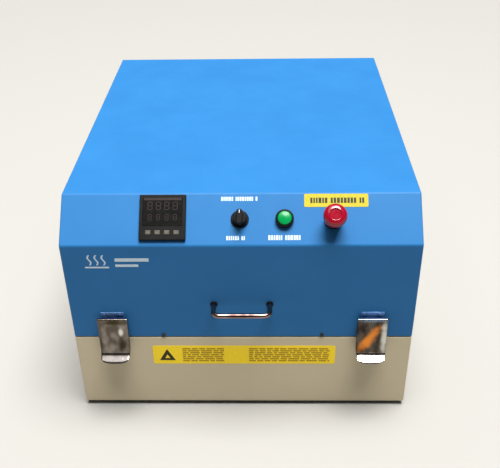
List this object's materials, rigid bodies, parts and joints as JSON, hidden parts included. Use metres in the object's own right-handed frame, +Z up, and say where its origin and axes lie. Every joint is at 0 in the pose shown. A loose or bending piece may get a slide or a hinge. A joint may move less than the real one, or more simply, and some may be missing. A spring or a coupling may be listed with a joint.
{
  "type": "reflow oven",
  "caption": "Clamshell bench reflow oven: a lid with sloped control panel, heaters and fan, hinged at the rear on a low base with a rack, held shut by front draw latches.",
  "frame": {"origin": "on the surface that the feet stand on, under the middle of the whole outline", "axes": "+Z up, the front with the latches and handle facing -Y, +X to the right seen from the front"},
  "size_m": [0.56, 0.708, 0.4045],
  "materials": {
    "blue_paint": "satin",
    "beige_paint": "satin",
    "stainless": "satin",
    "zinc_steel": "satin",
    "chrome": "polished",
    "ceramic_fibre": "matte",
    "glass_rope": "matte",
    "quartz": "gloss",
    "rubber": "matte",
    "black_plastic": "satin",
    "grey_plastic": "satin",
    "dark_window": "gloss",
    "green_lens": "gloss",
    "red_plastic": "gloss",
    "aluminium": "satin"
  },
  "bodies": {
    "base": {"base_case": "beige_paint", "bottom_plate": "zinc_steel", "foot_front_left": "rubber", "foot_front_right": "rubber", "foot_rear_left": "rubber", "foot_rear_right": "rubber", "lower_liner": "stainless", "lower_insulation": "ceramic_fibre", "lid_gasket": "glass_rope", "product_rack": "stainless", "latch_plate_left": "chrome", "latch_plate_right": "chrome", "hinge_base_leaf_left": "zinc_steel", "hinge_base_leaf_right": "zinc_steel", "hinge_pin_left": "zinc_steel", "hinge_pin_right": "zinc_steel"},
    "lid": {"lid_shell": "blue_paint", "lid_deck": "stainless", "lid_rear_panel": "blue_paint", "upper_liner": "stainless", "upper_insulation": "ceramic_fibre", "heater_tube_1": "quartz", "heater_tube_2": "quartz", "heater_tube_3": "quartz", "heater_tube_4": "quartz", "heater_bracket_left": "stainless", "heater_bracket_right": "stainless", "circulation_fan_motor": "aluminium", "cooling_fan_frame": "black_plastic", "cooling_fan_guard": "chrome", "controller_body": "black_plastic", "controller_window": "dark_window", "selector_body": "black_plastic", "start_button_body": "black_plastic", "estop_body": "black_plastic", "handle": "chrome", "latch_keeper_left": "chrome", "latch_keeper_right": "chrome", "hinge_lid_leaf_left": "zinc_steel", "hinge_lid_leaf_right": "zinc_steel", "power_inlet": "black_plastic", "main_switch_housing": "black_plastic", "relay_heatsink": "aluminium", "solid_state_relay": "black_plastic"},
    "circulation_fan": {"circulation_fan_impeller": "stainless"},
    "cooling_fan": {"cooling_fan_rotor": "black_plastic"},
    "selector": {"selector_knob": "black_plastic"},
    "start_button": {"start_button_lens": "green_lens"},
    "estop_plunger": {"estop_stem": "black_plastic"},
    "estop_mushroom": {"estop_head": "red_plastic"},
    "main_switch": {"main_switch_rocker": "black_plastic"},
    "controller_key_1": {"controller_key_1": "grey_plastic"},
    "controller_key_2": {"controller_key_2": "grey_plastic"},
    "controller_key_3": {"controller_key_3": "grey_plastic"},
    "controller_key_4": {"controller_key_4": "grey_plastic"},
    "latch_bail_left": {"latch_bail_left": "zinc_steel"},
    "latch_lever_left": {"latch_lever_left": "chrome"},
    "latch_bail_right": {"latch_bail_right": "zinc_steel"},
    "latch_lever_right": {"latch_lever_right": "chrome"}
  },
  "joints": [
    {"name": "lid_hinge", "type": "hinge", "parent": "base", "child": "lid", "pos_m": [0, 0.3475, 0.157], "axis": [-1, 0, 0], "range_deg": [0, 70]},
    {"name": "circulation_fan_spin", "type": "hinge", "parent": "lid", "child": "circulation_fan", "pos_m": [0, -0.01, 0.216], "axis": [0, 0, 1], "continuous": true},
    {"name": "cooling_fan_spin", "type": "hinge", "parent": "lid", "child": "cooling_fan", "pos_m": [0.16, 0.33, 0.3], "axis": [0, 1, 0], "continuous": true},
    {"name": "selector_turn", "type": "hinge", "parent": "lid", "child": "selector", "pos_m": [-0.001, -0.29065, 0.36734], "axis": [0, -0.7071, 0.7071], "range_deg": [-45, 45]},
    {"name": "start_button_press", "type": "slide", "parent": "lid", "child": "start_button", "axis": [0, 0.7071, -0.7071], "range_m": [0, 0.003], "stiffness_N_per_m": 800, "springref_m": -0.002},
    {"name": "estop_press", "type": "slide", "parent": "lid", "child": "estop_plunger", "axis": [0, 0.7071, -0.7071], "range_m": [0, 0.005]},
    {"name": "estop_twist", "type": "hinge", "parent": "estop_plunger", "child": "estop_mushroom", "pos_m": [0.143, -0.29242, 0.36558], "axis": [0, 0.7071, -0.7071], "range_deg": [0, 45], "stiffness_Nm_per_rad": 0.06, "springref_deg": -17.19},
    {"name": "main_switch_rock", "type": "hinge", "parent": "lid", "child": "main_switch", "pos_m": [-0.155, 0.34, 0.245], "axis": [-1, 0, 0], "range_deg": [0, 16]},
    {"name": "controller_key_1_press", "type": "slide", "parent": "lid", "child": "controller_key_1", "axis": [0, 0.7071, -0.7071], "range_m": [0, 0.0005], "stiffness_N_per_m": 1500, "springref_m": -0.0005},
    {"name": "controller_key_2_press", "type": "slide", "parent": "lid", "child": "controller_key_2", "axis": [0, 0.7071, -0.7071], "range_m": [0, 0.0005], "stiffness_N_per_m": 1500, "springref_m": -0.0005},
    {"name": "controller_key_3_press", "type": "slide", "parent": "lid", "child": "controller_key_3", "axis": [0, 0.7071, -0.7071], "range_m": [0, 0.0005], "stiffness_N_per_m": 1500, "springref_m": -0.0005},
    {"name": "controller_key_4_press", "type": "slide", "parent": "lid", "child": "controller_key_4", "axis": [0, 0.7071, -0.7071], "range_m": [0, 0.0005], "stiffness_N_per_m": 1500, "springref_m": -0.0005},
    {"name": "latch_left_bail", "type": "hinge", "parent": "base", "child": "latch_bail_left", "pos_m": [-0.2115, -0.3255, 0.138], "axis": [1, 0, 0], "range_deg": [0, 90]},
    {"name": "latch_left_lever", "type": "hinge", "parent": "latch_bail_left", "child": "latch_lever_left", "pos_m": [-0.2115, -0.3285, 0.16], "axis": [1, 0, 0], "range_deg": [-105, 0]},
    {"name": "latch_right_bail", "type": "hinge", "parent": "base", "child": "latch_bail_right", "pos_m": [0.2115, -0.3255, 0.138], "axis": [1, 0, 0], "range_deg": [0, 90]},
    {"name": "latch_right_lever", "type": "hinge", "parent": "latch_bail_right", "child": "latch_lever_right", "pos_m": [0.2115, -0.3285, 0.16], "axis": [1, 0, 0], "range_deg": [-105, 0]}
  ],
  "couplings": [
    {"joint": "latch_left_lever", "follows": "latch_left_bail", "ratio": -1.15},
    {"joint": "latch_right_lever", "follows": "latch_right_bail", "ratio": -1.15}
  ]
}
